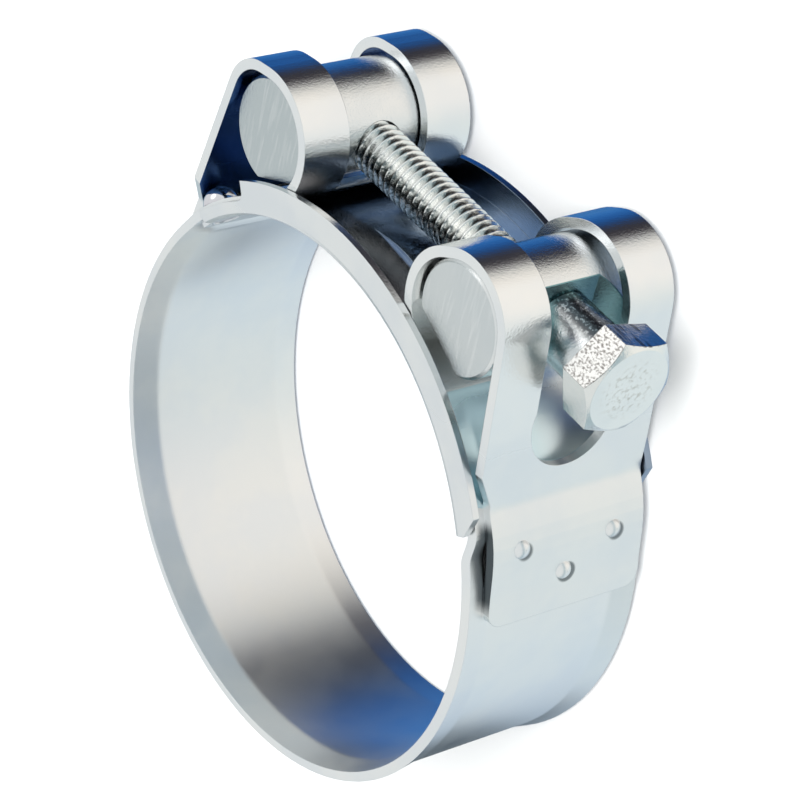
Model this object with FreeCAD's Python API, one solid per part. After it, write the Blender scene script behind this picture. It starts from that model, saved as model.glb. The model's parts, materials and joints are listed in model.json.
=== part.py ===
import FreeCAD, Part
import math
import os

# Single bolt hose clamp with trunnions, lying on its side.
# All sizes are millimetres. The hose bore's axis is Z, the gap between the lugs is towards +Y
# and the bolt runs along X with its head on the +X side. The origin is the bore's centre at mid-width.

# Band strip
bore_radius = 30.4
strip_thickness = 1.15
floor_half_width = 8.2
rim_half_width = 11.3
flare_angle = 10.0
flare_bend_length = 0.7
lug_half_width = 10.75
leaf_half_width = 9.85
leaf_shift = -0.75
leaf_end_angle = 11.7
leaf_flat_run = 0.3
leaf_rise_lead = 1.2
leaf_corner_radius = 1.8
joggle_span = 5.6
joggle_steps = 6
fade_start_angle = 48.0
bend_steps = 3

# Bridge plate that closes the ring under the bolt
bridge_thickness = 0.8
bridge_flange_height = 3.8
bridge_bend_radius = 0.9
bridge_head_end = 30.5
bridge_end_distance = 1.91
bridge_side_gap = 0.12
bridge_top_gap = 0.04
bridge_corner_cut = 1.6
bridge_lip_height = 1.6
bridge_lip_start = 57.8
bridge_tongue_length = 1.86
bridge_lip_foot_radius = 1.0
bridge_tongue_inset = 0.2
rib_half_width = 4.5
rib_height = 0.45
rib_half_span = 12.7
rib_root_depth = 0.03
rib_steps = 6

# Trunnions
trunnion_radius = 6.1
trunnion_length = 19.8
trunnion_angle = 64.185
trunnion_standoff = 0.479
threaded_flat_depth = 1.1
plain_flat_depth = 1.9
trunnion_edge_chamfer = 0.35
trunnion_seat_gap = 0.3

# Bolt, sleeve and their holes
thread_diameter = 6.0
thread_undersize = 0.1
bolt_length = 50.0
hex_width = 10.0
hex_height = 4.0
hex_turn = 17.3
hex_face_chamfer = 0.3
bolt_end_chamfer = 0.7
head_seat_reach = 11.3
sleeve_diameter = 7.4
sleeve_edge_chamfer = 0.25
seat_flat_x = 3.7
seat_side_gap = 0.12
seat_wall_slope = 52.0
thread_fit = 0.05
sleeve_fit = 0.09
clearance_hole = 6.9

# Slot that lets the bolt through the lugs
slot_half_width = 5.0
slot_foot_radius = 5.3
slot_foot_drop = 9.2
slot_lip_drop = 3.75

# Shape of each lug: where the strip leaves the trunnion, its shoulder, its outer leaf and the flare
# that is left on the band under the lug
head_lug = {"leave_angle": 120.0, "shoulder_radius": 6.5, "leaf_offset": 7.72, "leaf_lean": 7.7}
head_lug["low_flare"] = flare_angle
nut_lug = {"leave_angle": 80.0, "shoulder_radius": 5.0, "leaf_offset": 7.1, "leaf_lean": 10.4}
nut_lug["low_flare"] = 0.0
kink_radius = 2.5
leaf_shoulder_drop = 13.5
leaf_shoulder_run = 3.6

# Welds, each at an angle and a distance from the leaf's middle, and rivets, which keep clear of
# the nut lug's leaf by a gap and of the bridge's end by its end distance
weld_button_diameter = 2.0
weld_button_height = 0.6
weld_near_angle = 26.1
weld_near_z = 6.15
weld_far_angle = 24.9
weld_far_z = -5.8
weld_low_angle = 19.5
weld_low_z = 0.45
rivet_head_diameter = 4.0
rivet_head_height = 1.8
rivet_shank_diameter = 2.2
rivet_tail_diameter = 3.0
rivet_leaf_gap = 0.17
rivet_edge_gap = 0.05
rivet_hole_gap = 0.03

# Values worked out from the sizes above
overlap_radius = bore_radius + bridge_thickness + bridge_top_gap
half_strip = strip_thickness / 2.0
strip_in_lug = overlap_radius + half_strip
wrap_radius = trunnion_radius + trunnion_seat_gap + half_strip
trunnion_spacing = strip_in_lug + wrap_radius + trunnion_standoff
trunnion_x = trunnion_spacing * math.cos(math.radians(trunnion_angle))
trunnion_y = trunnion_spacing * math.sin(math.radians(trunnion_angle))
head_seat_x = trunnion_x + head_seat_reach
bridge_half_width = lug_half_width + bridge_side_gap + bridge_thickness
leaf_rise_angle = leaf_end_angle + math.degrees((leaf_corner_radius + leaf_flat_run) / bore_radius)
rivet_z = lug_half_width - rivet_head_diameter / 2.0 - rivet_edge_gap
weld_places = [(weld_near_angle, weld_near_z), (weld_far_angle, weld_far_z), (weld_low_angle, weld_low_z)]


def dome_radius(diameter, height):
    """Return the ball radius of a round cap."""
    half = diameter / 2.0
    return (half**2 + height**2) / (2.0 * height)


def rivet_place():
    """Return the rivets' angle above the x axis, where their domes just clear the nut lug's leaf."""
    ball = dome_radius(rivet_head_diameter, rivet_head_height)
    centre = overlap_radius + strip_thickness + rivet_hole_gap + rivet_head_height - ball
    lean = nut_lug["leaf_lean"]
    leaf = trunnion_spacing * math.cos(math.radians(trunnion_angle - lean)) + nut_lug["leaf_offset"]
    reach = leaf - half_strip - rivet_leaf_gap - ball
    return lean + math.degrees(math.acos(reach / centre))


rivet_angle = rivet_place()
bridge_nut_end = rivet_angle - math.degrees(bridge_end_distance / bore_radius)
bridge_lip_end = bridge_nut_end + math.degrees(bridge_tongue_length / bore_radius)


def polar(radius, degrees, z=0.0):
    """Return a point at a radius and an angle about the bore's axis."""
    turn = math.radians(degrees)
    return FreeCAD.Vector(radius * math.cos(turn), radius * math.sin(turn), z)


def step(point, heading, length):
    """Return the point a length away from a point along a heading in degrees."""
    return point + polar(length, heading)


def walk_side(start, heading, moves, offset):
    """Return the edges of one side of a strip whose middle line follows the moves.

    A move is ("line", length) or ("arc", radius, turn), and a turn to the left is positive.
    """
    edges = []
    point = start
    for move in moves:
        first = step(point, heading + 90.0, offset)
        if move[0] == "line":
            point = step(point, heading, move[1])
            last = step(point, heading + 90.0, offset)
            edges.append(Part.LineSegment(first, last).toShape())
            continue
        radius, turn = move[1], move[2]
        side = 90.0 if turn > 0 else -90.0
        centre = step(point, heading + side, radius)
        side_radius = radius - offset if turn > 0 else radius + offset
        middle = step(centre, heading - side + turn / 2.0, side_radius)
        heading = heading + turn
        last = step(centre, heading - side, side_radius)
        point = step(centre, heading - side, radius)
        edges.append(Part.Arc(first, middle, last).toShape())
    return edges


def strip_face(start, heading, moves):
    """Return the face of a strip of the band's thickness along a path of lines and arcs."""
    left = walk_side(start, heading, moves, half_strip)
    right = walk_side(start, heading, moves, -half_strip)
    start_edge = Part.LineSegment(left[0].firstVertex().Point, right[0].firstVertex().Point)
    end_edge = Part.LineSegment(left[-1].lastVertex().Point, right[-1].lastVertex().Point)
    edges = left + right + [start_edge.toShape(), end_edge.toShape()]
    return Part.Face(Part.Wire(Part.__sortEdges__(edges)))


def thicken(face, half_width):
    """Extrude a face in the profile plane to both sides of mid-width."""
    face = face.copy()
    face.translate(FreeCAD.Vector(0, 0, -half_width))
    return face.extrude(FreeCAD.Vector(0, 0, 2.0 * half_width))


def half_section(angle, half_width):
    """Return the middle line of half a band section as (z, rise) points, floor first."""
    bend = math.radians(angle)
    bend_start = floor_half_width - flare_bend_length / 2.0
    points = [(0.0, 0.0), (bend_start, 0.0)]
    z, rise = points[-1]
    for number in range(bend_steps):
        lean = bend * (number + 0.5) / bend_steps
        z += flare_bend_length / bend_steps * math.cos(lean)
        rise += flare_bend_length / bend_steps * math.sin(lean)
        points.append((z, rise))
    reach = half_width - half_strip * math.sin(bend) - z
    points.append((z + reach, rise + reach * math.tan(bend)))
    return points


def section_wire(degrees, inner_radius, angle, half_width):
    """Return the closed outline of the flared band section at an angle round the ring."""
    half = half_section(angle, half_width)
    line = [(-z, rise) for z, rise in reversed(half[1:])] + half[1:]
    upper, lower = [], []
    for number, (z, rise) in enumerate(line):
        before = line[max(number - 1, 0)]
        after = line[min(number + 1, len(line) - 1)]
        lean_in = math.atan2(rise - before[1], z - before[0]) if number else None
        lean_out = math.atan2(after[1] - rise, after[0] - z) if number < len(line) - 1 else None
        lean_in = lean_out if lean_in is None else lean_in
        lean_out = lean_in if lean_out is None else lean_out
        lean = (lean_in + lean_out) / 2.0
        reach = half_strip / math.cos((lean_out - lean_in) / 2.0)
        shift_z, shift_r = -math.sin(lean) * reach, math.cos(lean) * reach
        middle = inner_radius + half_strip + rise
        upper.append(polar(middle + shift_r, degrees, z + shift_z))
        lower.append(polar(middle - shift_r, degrees, z - shift_z))
    outline = upper + lower[::-1]
    return Part.makePolygon(outline + [outline[0]])


def revolve_section(wire, sweep):
    """Turn a section about the bore's axis."""
    return Part.Face(wire).revolve(FreeCAD.Vector(0, 0, 0), FreeCAD.Vector(0, 0, 1), sweep)


def box_wire(degrees, inner_radius, outer_radius, first_z, last_z):
    """Return a rectangle between two radii and two heights at an angle round the ring."""
    corners = [
        polar(inner_radius, degrees, first_z),
        polar(outer_radius, degrees, first_z),
        polar(outer_radius, degrees, last_z),
        polar(inner_radius, degrees, last_z),
    ]
    return Part.makePolygon(corners + [corners[0]])


def ease(share):
    """Return a share from 0 to 1 with flat ends."""
    return share * share * (3.0 - 2.0 * share)


def joggle_sections(bridge_end):
    """Return (angle, eased share) pairs for the step of the band over the end of the bridge."""
    first = bridge_end - joggle_span
    shares = [number / joggle_steps for number in range(joggle_steps + 1)]
    return [(first + joggle_span * share, ease(share)) for share in shares]


def joggle(lug, bridge_end):
    """Return the stretch of band that steps out over the bridge while its flare gets lower."""
    wires = []
    for angle, share in joggle_sections(bridge_end):
        radius = bore_radius + (overlap_radius - bore_radius) * share
        width = rim_half_width + (lug_half_width - rim_half_width) * share
        flare = flare_angle + (lug["low_flare"] - flare_angle) * share
        wires.append(section_wire(angle, radius, flare, width))
    return Part.makeLoft(wires, True, True)


def ring_leave_angle():
    """Return where the strip leaves the ring on its way round the trunnion, in degrees."""
    return trunnion_angle - math.degrees(math.acos((strip_in_lug + wrap_radius) / trunnion_spacing))


def fade(lug, leave_angle):
    """Return the stretch where what is left of the flare runs out before the lug."""
    wires = []
    for number in range(joggle_steps + 1):
        share = number / joggle_steps
        angle = fade_start_angle + (leave_angle - fade_start_angle) * share
        flare = lug["low_flare"] * (1.0 - ease(share))
        wires.append(section_wire(angle, overlap_radius, flare, lug_half_width))
    return Part.makeLoft(wires, True, True)


def corner_points(lug):
    """Return the tangent points of a lug's shoulder arc on its two straight stretches."""
    leave, lean = math.radians(lug["leave_angle"]), math.radians(lug["leaf_lean"])
    first = wrap_radius - lug["shoulder_radius"]
    second = lug["leaf_offset"] - lug["shoulder_radius"]
    spread = math.sin(leave - lean)
    centre_x = (second * math.sin(leave) - first * math.sin(lean)) / spread
    centre_y = (first * math.cos(lean) - second * math.cos(leave)) / spread
    centre = FreeCAD.Vector(trunnion_x + centre_x, trunnion_y + centre_y, 0)
    on_wrap_side = step(centre, lug["leave_angle"], lug["shoulder_radius"])
    on_leaf_side = step(centre, lug["leaf_lean"], lug["shoulder_radius"])
    return on_wrap_side, on_leaf_side


def lug_path(lug, leaf_inner_radius):
    """Return the start, heading and moves of a strip from its outer leaf round the trunnion."""
    lean = lug["leaf_lean"]
    ring_radius = leaf_inner_radius + half_strip
    across = polar(1.0, lean)
    centre = FreeCAD.Vector(trunnion_x, trunnion_y, 0)
    line_offset = centre.dot(across) + lug["leaf_offset"]
    reach = ring_radius + kink_radius
    along = math.sqrt(reach**2 - (line_offset + kink_radius) ** 2)
    fillet = across * (line_offset + kink_radius) + polar(along, lean + 90.0)
    kink_angle = math.degrees(math.atan2(fillet.y, fillet.x))
    line_start = fillet - across * kink_radius
    wrap_end, leaf_end = corner_points(lug)
    ring_leave = ring_leave_angle()
    wrap_start = step(centre, lug["leave_angle"], wrap_radius)
    meet_angle = ring_leave + 180.0
    free_run = (step(centre, meet_angle, wrap_radius) - polar(strip_in_lug, ring_leave)).Length
    moves = [
        ("arc", kink_radius, lean - kink_angle),
        ("line", (leaf_end - line_start).Length),
        ("arc", lug["shoulder_radius"], lug["leave_angle"] - lean),
        ("line", (wrap_end - wrap_start).Length),
        ("arc", wrap_radius, meet_angle - lug["leave_angle"]),
        ("line", free_run),
    ]
    return kink_angle, polar(ring_radius, kink_angle), kink_angle + 90.0, moves


def leaf_frame(lug):
    """Return the leaf's point level with the trunnion, its outward and its downward direction."""
    across = polar(1.0, lug["leaf_lean"])
    centre = FreeCAD.Vector(trunnion_x, trunnion_y, 0)
    return centre + across * lug["leaf_offset"], across, polar(1.0, lug["leaf_lean"] - 90.0)


def slot_cutter(lug):
    """Return the tool for the bolt's slot: over the lug and down the outer leaf to a round foot."""
    level, across, down = leaf_frame(lug)
    depth = 4.0 * strip_thickness
    foot = level + down * slot_foot_drop - across * depth / 2.0
    round_foot = Part.makeCylinder(slot_foot_radius, depth, foot, across)
    shaft = Part.makeBox(depth, slot_foot_drop, 2.0 * slot_half_width)
    shaft.translate(FreeCAD.Vector(-depth / 2.0, -slot_foot_drop, -slot_half_width))
    shaft.rotate(FreeCAD.Vector(0, 0, 0), FreeCAD.Vector(0, 0, 1), lug["leaf_lean"])
    shaft.translate(level)
    reach = 2.0 * (trunnion_radius + lug["leaf_offset"])
    over = Part.makeBox(reach, reach, 2.0 * slot_half_width)
    over.translate(FreeCAD.Vector(trunnion_x - reach / 2.0, trunnion_y - slot_lip_drop, -slot_half_width))
    return over.fuse([shaft, round_foot])


def leaf_side_cutters(lug):
    """Return the two tools that narrow the outer leaf below the lug."""
    level, across, down = leaf_frame(lug)
    depth = 20.0 * strip_thickness
    width = lug_half_width + strip_thickness
    narrow = leaf_shoulder_drop + leaf_shoulder_run
    tools = []
    for side in (-1.0, 1.0):
        leaf_edge = leaf_shift + side * leaf_half_width
        outline = [
            (leaf_shoulder_drop, side * lug_half_width),
            (narrow, leaf_edge),
            (narrow + trunnion_y, leaf_edge),
            (narrow + trunnion_y, side * width),
            (leaf_shoulder_drop, side * width),
        ]
        corners = []
        for drop, z in outline:
            corners.append(level + down * drop - across * depth / 2.0 + FreeCAD.Vector(0, 0, z))
        face = Part.Face(Part.makePolygon(corners + [corners[0]]))
        tools.append(face.extrude(across * depth))
    return tools


def leaf_wire(degrees, inner_radius):
    """Return the outline of the outer leaf at an angle round the ring."""
    first_z, last_z = leaf_shift - leaf_half_width, leaf_shift + leaf_half_width
    return box_wire(degrees, inner_radius, inner_radius + strip_thickness, first_z, last_z)


def leaf_on_ring(first, last, inner_radius):
    """Return the outer leaf where it lies on the band between two angles."""
    return revolve_section(leaf_wire(first, inner_radius), last - first)


def leaf_rise_end(bridge_end):
    """Return the angle where the rising leaf is up on the overlap."""
    return bridge_end - leaf_rise_lead


def leaf_inner_radius(degrees, bridge_end):
    """Return the rising leaf's inner radius at an angle round the ring."""
    run = leaf_rise_end(bridge_end) - leaf_rise_angle
    share = min(max((degrees - leaf_rise_angle) / run, 0.0), 1.0)
    return bore_radius + (overlap_radius - bore_radius) * ease(share) + strip_thickness


def rising_leaf(bridge_end):
    """Return the outer leaf where it rises gently from the ring to the overlap."""
    run = leaf_rise_end(bridge_end) - leaf_rise_angle
    wires = []
    for number in range(joggle_steps + 1):
        angle = leaf_rise_angle + run * number / joggle_steps
        wires.append(leaf_wire(angle, leaf_inner_radius(angle, bridge_end)))
    return Part.makeLoft(wires, True, True)


def round_leaf_end(leaf):
    """Round the two free corners of the outer leaf."""
    corners = []
    for edge in leaf.Edges:
        middle = edge.CenterOfMass
        angle = math.degrees(math.atan2(middle.y, middle.x))
        at_end = abs(angle - leaf_end_angle) < 0.01
        across = abs(edge.Length - strip_thickness) < 0.01
        if at_end and across:
            corners.append(edge)
    return leaf.makeFillet(leaf_corner_radius, corners).Solids[0]


def weld_button(degrees, z, leaf_radius):
    """Return a low round weld button on the outer leaf, with its nugget down into the band."""
    half = weld_button_diameter / 2.0
    ball = dome_radius(weld_button_diameter, weld_button_height)
    surface = leaf_radius + strip_thickness
    low_angle = math.degrees(math.asin((ball - weld_button_height) / ball))
    base = polar(surface + weld_button_height - ball, degrees, z)
    button = Part.makeSphere(ball, base, polar(1.0, degrees), low_angle, 90.0, 360.0)
    foot = polar(bore_radius + half_strip, degrees, z)
    nugget = Part.makeCylinder(half, surface - bore_radius - half_strip, foot, polar(1.0, degrees))
    return button.fuse(nugget)


def side_of_band(lug, bridge_end):
    """Return one side of the band, from the end of the plain ring to the leaf's free end."""
    leaf_on_overlap = bridge_end < leaf_kink_angle(lug, overlap_radius)
    landing = (overlap_radius if leaf_on_overlap else bore_radius) + strip_thickness
    kink_angle, start, heading, moves = lug_path(lug, landing)
    loop = thicken(strip_face(start, heading, moves), lug_half_width)
    loop = loop.cut([slot_cutter(lug)] + leaf_side_cutters(lug)).Solids[0]
    section = section_wire(bridge_end, overlap_radius, lug["low_flare"], lug_half_width)
    overlap = revolve_section(section, fade_start_angle - bridge_end)
    plain_end = leaf_rise_angle if leaf_on_overlap else kink_angle
    surface = bore_radius + strip_thickness
    leaf = round_leaf_end(leaf_on_ring(leaf_end_angle, plain_end, surface))
    pieces = [joggle(lug, bridge_end), overlap, fade(lug, ring_leave_angle()), loop, leaf]
    if leaf_on_overlap:
        pieces.append(rising_leaf(bridge_end))
        pieces.append(leaf_on_ring(leaf_rise_end(bridge_end), kink_angle, landing))
    for angle, z in weld_places:
        leaf_radius = leaf_inner_radius(angle, bridge_end) if leaf_on_overlap else surface
        pieces.append(weld_button(angle, leaf_shift + z, leaf_radius))
    return pieces


def leaf_kink_angle(lug, inner_radius):
    """Return the angle where the leaf would land on a ring of an inner radius."""
    return lug_path(lug, inner_radius + strip_thickness)[0]


def mirrored(shape):
    """Return a shape mirrored to the other lug's side."""
    return shape.mirror(FreeCAD.Vector(0, 0, 0), FreeCAD.Vector(1, 0, 0))


def make_band():
    """Return the whole band: ring, steps, lugs, outer leaves and weld buttons in one strip."""
    ring_start = 180.0 - bridge_nut_end + joggle_span
    ring_end = 360.0 + bridge_head_end - joggle_span
    full = section_wire(ring_start, bore_radius, flare_angle, rim_half_width)
    ring = revolve_section(full, ring_end - ring_start)
    head_side = side_of_band(head_lug, bridge_head_end)
    nut_side = [mirrored(piece) for piece in side_of_band(nut_lug, bridge_nut_end)]
    band = ring.fuse(head_side + nut_side).removeSplitter()
    holes = [rivet_hole(z, overlap_radius, strip_thickness) for z in (-rivet_z, rivet_z)]
    return band.cut(holes)


def rivet_hole(z, inner_radius, depth):
    """Return the tool for one rivet's hole through a wall."""
    radius = rivet_shank_diameter / 2.0 + rivet_hole_gap
    foot = polar(inner_radius - depth, 180.0 - rivet_angle, z)
    return Part.makeCylinder(radius, 3.0 * depth, foot, polar(1.0, 180.0 - rivet_angle))


def channel_wire(degrees, outer_height):
    """Return the outline of the bridge's channel section at an angle round the ring."""
    half = bridge_half_width
    inner = bore_radius
    top = inner + outer_height
    bend_middle = bridge_bend_radius * (1.0 - math.cos(math.radians(45.0)))
    outline = [
        (inner, -half + bridge_bend_radius),
        (inner + bend_middle, -half + bend_middle),
        (inner + bridge_bend_radius, -half),
        (top, -half),
        (top, -half + bridge_thickness),
        (inner + bridge_thickness, -half + bridge_thickness),
    ]
    outline += [(radius, -z) for radius, z in reversed(outline)]
    corners = [polar(radius, degrees, z) for radius, z in outline]
    return Part.makePolygon(corners + [corners[0]])


def head_end_cutter():
    """Return the tool that slopes the flange tips at the bridge's head end."""
    half = bridge_half_width + bridge_thickness
    low = bore_radius + bridge_bend_radius + bridge_thickness
    high = bore_radius + 2.0 * bridge_flange_height
    reach = math.degrees(bridge_corner_cut / bore_radius)
    run = reach * (high - low) / (bridge_flange_height - bridge_bend_radius - bridge_thickness)
    corners = [
        polar(low, bridge_head_end, -half),
        polar(high, bridge_head_end + run, -half),
        polar(high, bridge_head_end - reach, -half),
        polar(low, bridge_head_end - reach, -half),
    ]
    face = Part.Face(Part.makePolygon(corners + [corners[0]]))
    return face.extrude(FreeCAD.Vector(0, 0, 2.0 * half))


def nut_end_cutter():
    """Return the tool that leaves only a low lip of the flanges at the bridge's nut end."""
    half = bridge_half_width + bridge_thickness
    low = bore_radius + bridge_lip_height
    high = bore_radius + 2.0 * bridge_flange_height
    first = 180.0 - bridge_lip_start
    wire = box_wire(first, low, high, -half, half)
    tool = revolve_section(wire, bridge_lip_start)
    foot = [edge for edge in tool.Edges if (edge.CenterOfMass - polar(low, first)).Length < 0.01]
    return tool.makeFillet(bridge_lip_foot_radius, foot)


def tongue_cutters():
    """Return the two tools that end the lips before the tongue that the rivets hold."""
    half = bridge_half_width + bridge_thickness
    tongue = lug_half_width - bridge_tongue_inset
    low = bore_radius - bridge_thickness
    high = bore_radius + bridge_flange_height
    first = 180.0 - bridge_lip_end
    tools = []
    for first_z, last_z in ((-half, -tongue), (tongue, half)):
        wire = box_wire(first, low, high, first_z, last_z)
        tools.append(revolve_section(wire, bridge_lip_end))
    return tools


def make_rib():
    """Return the low rib along the bridge's middle, which runs out to nothing at both ends."""
    surface = bore_radius + bridge_thickness
    middle = (bridge_head_end + 180.0 - bridge_nut_end) / 2.0
    wires = []
    for number in range(-rib_steps, rib_steps + 1):
        share = number / rib_steps
        top = surface + (rib_height + rib_root_depth) * ease(1.0 - abs(share)) - rib_root_depth
        angle = middle + rib_half_span * share
        wires.append(box_wire(angle, surface - bridge_thickness / 2.0, top, -rib_half_width, rib_half_width))
    return Part.makeLoft(wires, True, True)


def make_bridge():
    """Return the bridge: a curved channel inside the band under the bolt."""
    section = channel_wire(bridge_head_end, bridge_flange_height)
    bridge = revolve_section(section, 180.0 - bridge_nut_end - bridge_head_end)
    bridge = bridge.fuse(make_rib()).removeSplitter()
    tools = [head_end_cutter(), nut_end_cutter()] + tongue_cutters()
    for z in (-rivet_z, rivet_z):
        tools.append(rivet_hole(z, bore_radius, bridge_thickness))
        tools.append(rivet_tail(z, rivet_hole_gap))
        tools.append(tail_mouth(z))
    return bridge.cut(tools)


def rivet_tail(z, gap):
    """Return the cone of a rivet's closed end, flush with the bore."""
    angle = 180.0 - rivet_angle
    shank = rivet_shank_diameter / 2.0 + gap
    tail = rivet_tail_diameter / 2.0 + gap
    foot = polar(bore_radius + sunk_tail(tail), angle, z)
    return Part.makeCone(tail, shank, bridge_thickness - sunk_tail(tail), foot, polar(1.0, angle))


def tail_mouth(z):
    """Return the tool that opens the countersink of a rivet's tail to the bore."""
    radius = rivet_tail_diameter / 2.0 + rivet_hole_gap
    angle = 180.0 - rivet_angle
    foot = polar(bore_radius - bridge_thickness, angle, z)
    return Part.makeCylinder(radius, bridge_thickness + sunk_tail(radius), foot, polar(1.0, angle))


def sunk_tail(radius):
    """Return how far a flat disc of a radius lies outside the bore's curve at its edges."""
    return bore_radius - math.sqrt(bore_radius**2 - radius**2) + rivet_hole_gap


def make_rivets():
    """Return the two domed rivets that hold the bridge's nut end in the band."""
    rivets = []
    angle = 180.0 - rivet_angle
    out = polar(1.0, angle)
    seat = overlap_radius + strip_thickness
    ball = dome_radius(rivet_head_diameter, rivet_head_height)
    low_angle = math.degrees(math.asin((ball - rivet_head_height) / ball))
    for z in (-rivet_z, rivet_z):
        centre = polar(seat + rivet_hole_gap + rivet_head_height - ball, angle, z)
        head = Part.makeSphere(ball, centre, out, low_angle, 90.0, 360.0)
        foot = bore_radius + sunk_tail(rivet_tail_diameter / 2.0)
        length = seat + rivet_hole_gap + rivet_head_height / 2.0 - foot
        shank = Part.makeCylinder(rivet_shank_diameter / 2.0, length, polar(foot, angle, z), out)
        rivets.append(head.fuse([shank, rivet_tail(z, 0.0)]).removeSplitter())
    return Part.makeCompound(rivets)


def trunnion_blank(side, flat_depth):
    """Return a trunnion bar with chamfered ends and the flat that faces the ring's centre."""
    half = trunnion_length / 2.0
    chamfer = trunnion_edge_chamfer
    profile = [
        (0.0, -half),
        (trunnion_radius - chamfer, -half),
        (trunnion_radius, -half + chamfer),
        (trunnion_radius, half - chamfer),
        (trunnion_radius - chamfer, half),
        (0.0, half),
    ]
    corners = [FreeCAD.Vector(radius, 0, z) for radius, z in profile]
    face = Part.Face(Part.makePolygon(corners + [corners[0]]))
    bar = face.revolve(FreeCAD.Vector(0, 0, 0), FreeCAD.Vector(0, 0, 1), 360.0)
    width = 2.0 * trunnion_radius
    flat = Part.makeBox(width, width, trunnion_length + width)
    flat.translate(FreeCAD.Vector(trunnion_radius - flat_depth, -width / 2.0, -half - width / 2.0))
    towards = math.degrees(math.atan2(-trunnion_y, -side * trunnion_x))
    flat.rotate(FreeCAD.Vector(0, 0, 0), FreeCAD.Vector(0, 0, 1), towards)
    bar = bar.cut(flat)
    bar.translate(FreeCAD.Vector(side * trunnion_x, trunnion_y, 0))
    return bar


def bolt_line_cylinder(diameter, first_x, last_x):
    """Return a cylinder along the bolt's axis between two stations."""
    start = FreeCAD.Vector(first_x, trunnion_y, 0)
    return Part.makeCylinder(diameter / 2.0, last_x - first_x, start, FreeCAD.Vector(1, 0, 0))


def make_threaded_trunnion():
    """Return the trunnion with the threaded hole, drawn at the thread's outer diameter."""
    hole = thread_diameter - thread_undersize + 2.0 * thread_fit
    reach = trunnion_radius + strip_thickness
    bore = bolt_line_cylinder(hole, -trunnion_x - reach, -trunnion_x + reach)
    return trunnion_blank(-1.0, threaded_flat_depth).cut(bore)


def make_plain_trunnion():
    """Return the trunnion with the clearance hole and the notched flat seat for the sleeve."""
    reach = trunnion_radius + strip_thickness
    bore = bolt_line_cylinder(clearance_hole, trunnion_x - reach, trunnion_x + reach)
    half = sleeve_diameter / 2.0 + seat_side_gap
    seat = trunnion_x + seat_flat_x
    rise = reach - seat_flat_x
    spread = rise * math.tan(math.radians(seat_wall_slope))
    outline = [(seat, -half), (seat + rise, -half - spread), (seat + rise, half + spread), (seat, half)]
    corners = [FreeCAD.Vector(x, trunnion_y - reach, z) for x, z in outline]
    notch = Part.Face(Part.makePolygon(corners + [corners[0]]))
    notch = notch.extrude(FreeCAD.Vector(0, 2.0 * reach, 0))
    return trunnion_blank(1.0, plain_flat_depth).cut([bore, notch])


def make_sleeve():
    """Return the spacer sleeve between the bolt's head and its seat on the plain trunnion."""
    inner = (thread_diameter - thread_undersize) / 2.0 + sleeve_fit
    outer = sleeve_diameter / 2.0
    first = trunnion_x + seat_flat_x
    chamfer = sleeve_edge_chamfer
    profile = [
        (first, inner),
        (first, outer - chamfer),
        (first + chamfer, outer),
        (head_seat_x - chamfer, outer),
        (head_seat_x, outer - chamfer),
        (head_seat_x, inner),
    ]
    corners = [FreeCAD.Vector(x, trunnion_y + radius, 0) for x, radius in profile]
    face = Part.Face(Part.makePolygon(corners + [corners[0]]))
    return face.revolve(FreeCAD.Vector(0, trunnion_y, 0), FreeCAD.Vector(1, 0, 0), 360.0)


def make_bolt():
    """Return the hexagon bolt, its thread drawn as a plain cylinder."""
    corner = hex_width / math.sqrt(3.0)
    points = []
    for number in range(6):
        turn = math.radians(hex_turn + 60.0 * number)
        y, z = corner * math.cos(turn), corner * math.sin(turn)
        points.append(FreeCAD.Vector(head_seat_x, trunnion_y + y, z))
    head = Part.Face(Part.makePolygon(points + [points[0]]))
    head = head.extrude(FreeCAD.Vector(hex_height, 0, 0))
    slope = math.tan(math.radians(60.0))
    cone_height = hex_height + (hex_width / 2.0 - hex_face_chamfer) / slope
    seat = FreeCAD.Vector(head_seat_x, trunnion_y, 0)
    cone = Part.makeCone(cone_height * slope, 0.0, cone_height, seat, FreeCAD.Vector(1, 0, 0))
    head = head.common(cone)
    radius = (thread_diameter - thread_undersize) / 2.0
    end_x = head_seat_x - bolt_length
    shank = bolt_line_cylinder(2.0 * radius, end_x + bolt_end_chamfer, head_seat_x)
    tip = Part.makeCone(
        radius - bolt_end_chamfer,
        radius,
        bolt_end_chamfer,
        FreeCAD.Vector(end_x, trunnion_y, 0),
        FreeCAD.Vector(1, 0, 0),
    )
    return head.fuse([shank, tip]).removeSplitter()


def main():
    """Write each piece of the clamp."""
    os.makedirs("parts", exist_ok=True)
    pieces = {
        "band": make_band(),
        "bridge_plate": make_bridge(),
        "bridge_rivets": make_rivets(),
        "threaded_trunnion": make_threaded_trunnion(),
        "plain_trunnion": make_plain_trunnion(),
        "spacer_sleeve": make_sleeve(),
        "hex_bolt": make_bolt(),
    }
    for name, shape in pieces.items():
        print(name, len(shape.Solids), shape.isValid(), round(shape.Volume, 2))
        shape.exportStep("parts/" + name + ".step")


main()
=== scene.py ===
# %% [markdown]
# # A single bolt hose clamp in bright zinc
#
# The real object is a strip of mild steel, rolled with two turned-out edges, bent into a ring and folded
# back over two steel bars. A bolt draws the bars together. Everything is zinc plated in a barrel, which
# leaves a bright, faintly blue metal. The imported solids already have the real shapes, so this lesson
# keeps them as they are, gives each its finish, and makes the one piece that the solids leave plain:
# the bolt with its thread. Blender works in metres. The clamp's own places and sizes are written in
# millimetres, and are multiplied by mm where Blender takes them. The objects that Blender starts with
# are removed first.

# %% Load the solids
import bpy
import json
import math
import numpy as np
from mathutils import Matrix, Vector

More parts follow.
